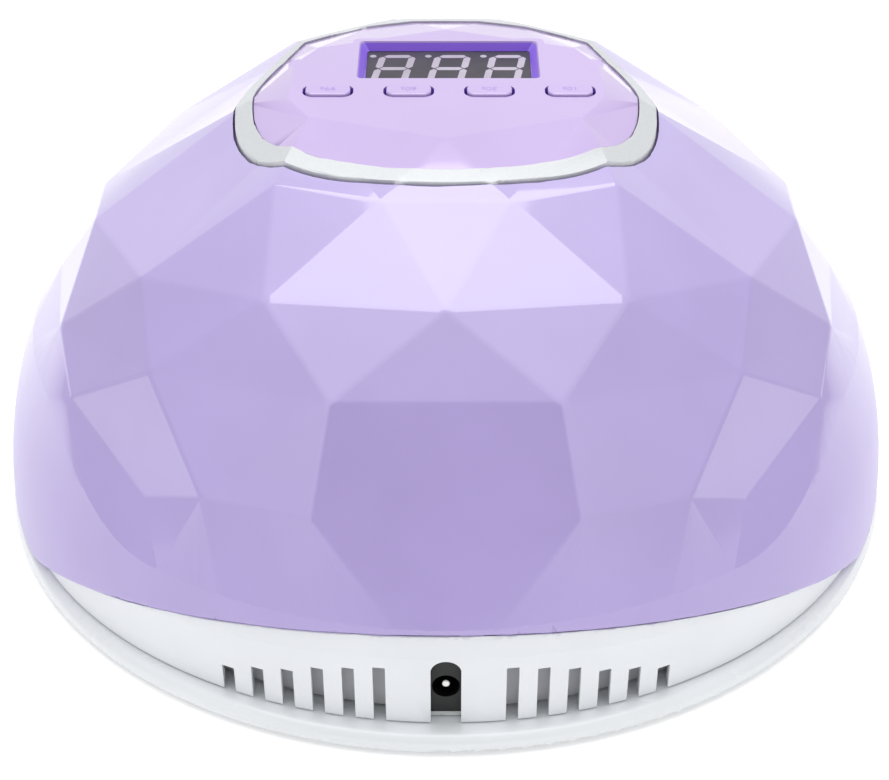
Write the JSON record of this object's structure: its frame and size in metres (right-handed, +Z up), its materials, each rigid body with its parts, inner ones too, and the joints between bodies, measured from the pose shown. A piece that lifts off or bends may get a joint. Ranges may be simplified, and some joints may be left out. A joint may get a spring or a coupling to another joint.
{
  "type": "uv led nail lamp",
  "caption": "Round nail-curing lamp: a faceted lavender dome over a hand opening, with a display and buttons on top, and a base plate held by magnets.",
  "frame": {"origin": "on the table, under the middle of the round base plate", "axes": "+Z up through the middle of the dome, +Y towards the hand opening (front), -Y towards the power inlet (back), +X to the user's left"},
  "size_m": [0.212, 0.212, 0.1041],
  "materials": {
    "shell_lavender": "glossy pearlescent lavender ABS",
    "panel_lavender": "glossy lavender ABS, a shade lighter",
    "ring_chrome": "satin chrome plate",
    "button_lavender": "satin lavender plastic",
    "display_grey": "matt dark grey",
    "segment_grey": "pale unlit segment",
    "housing_white": "fine-textured white ABS",
    "baffle_grey": "light grey plastic",
    "plate_white": "glossy white ABS",
    "bezel_white": "glossy white ABS",
    "liner_mirror": "vacuum-metallised reflector",
    "sheet_mirror": "bright reflective sheet",
    "rubber_grey": "soft rubber",
    "steel": "nickel plated",
    "led_package": "white package, yellow tint",
    "led_lens": "clear silicone dome",
    "board_white": "white solder mask",
    "board_green": "green solder mask",
    "black_plastic": "black moulded plastic",
    "switch_black": "black",
    "capacitor_sleeve": "shrink sleeve",
    "coil_ferrite": "ferrite grey",
    "pin_nickel": "nickel plated brass",
    "lead_grey": "PVC sleeve",
    "sensor_dark": "infrared-pass epoxy",
    "sensor_clear": "pale blue epoxy"
  },
  "bodies": {
    "base": {"base_plate": "plate_white", "rubber_feet": "rubber_grey", "steel_discs": "steel", "base_reflector_sheet": "sheet_mirror"},
    "lamp": {"upper_shell": "shell_lavender", "trim_ring": "ring_chrome", "control_panel": "panel_lavender", "display_module": "display_grey", "display_segments": "segment_grey", "control_board": "board_green", "tact_switches": "switch_black", "switch_plungers": "black_plastic", "control_chips": "black_plastic", "board_screws": "steel", "lower_housing": "housing_white", "magnets": "steel", "housing_screws": "steel", "vent_baffle": "baffle_grey", "mouth_bezel": "bezel_white", "reflector_liner": "liner_mirror", "led_packages": "led_package", "led_lenses": "led_lens", "led_star_boards": "board_white", "hand_sensor_emitter": "sensor_clear", "hand_sensor_receiver": "sensor_dark", "dc_jack_body": "black_plastic", "dc_jack_pin": "pin_nickel", "jack_board": "board_white", "power_board": "board_green", "power_coils": "coil_ferrite", "power_capacitors": "capacitor_sleeve", "power_chips": "black_plastic", "lead_socket": "housing_white", "power_board_screws": "steel", "internal_lead": "lead_grey"},
    "button_10s": {"button_10s": "button_lavender"},
    "button_30s": {"button_30s": "button_lavender"},
    "button_60s": {"button_60s": "button_lavender"},
    "button_99s": {"button_99s": "button_lavender"}
  },
  "joints": [
    {"name": "lamp_lift", "type": "slide", "parent": "base", "child": "lamp", "axis": [0, 0, 1], "range_m": [0, 0.12]},
    {"name": "button_10s_press", "type": "slide", "parent": "lamp", "child": "button_10s", "axis": [0, 0, -1], "range_m": [0, 0.0006], "stiffness_N_per_m": 400, "springref_m": -0.0008},
    {"name": "button_30s_press", "type": "slide", "parent": "lamp", "child": "button_30s", "axis": [0, 0, -1], "range_m": [0, 0.0006], "stiffness_N_per_m": 400, "springref_m": -0.0008},
    {"name": "button_60s_press", "type": "slide", "parent": "lamp", "child": "button_60s", "axis": [0, 0, -1], "range_m": [0, 0.0006], "stiffness_N_per_m": 400, "springref_m": -0.0008},
    {"name": "button_99s_press", "type": "slide", "parent": "lamp", "child": "button_99s", "axis": [0, 0, -1], "range_m": [0, 0.0006], "stiffness_N_per_m": 400, "springref_m": -0.0008}
  ]
}
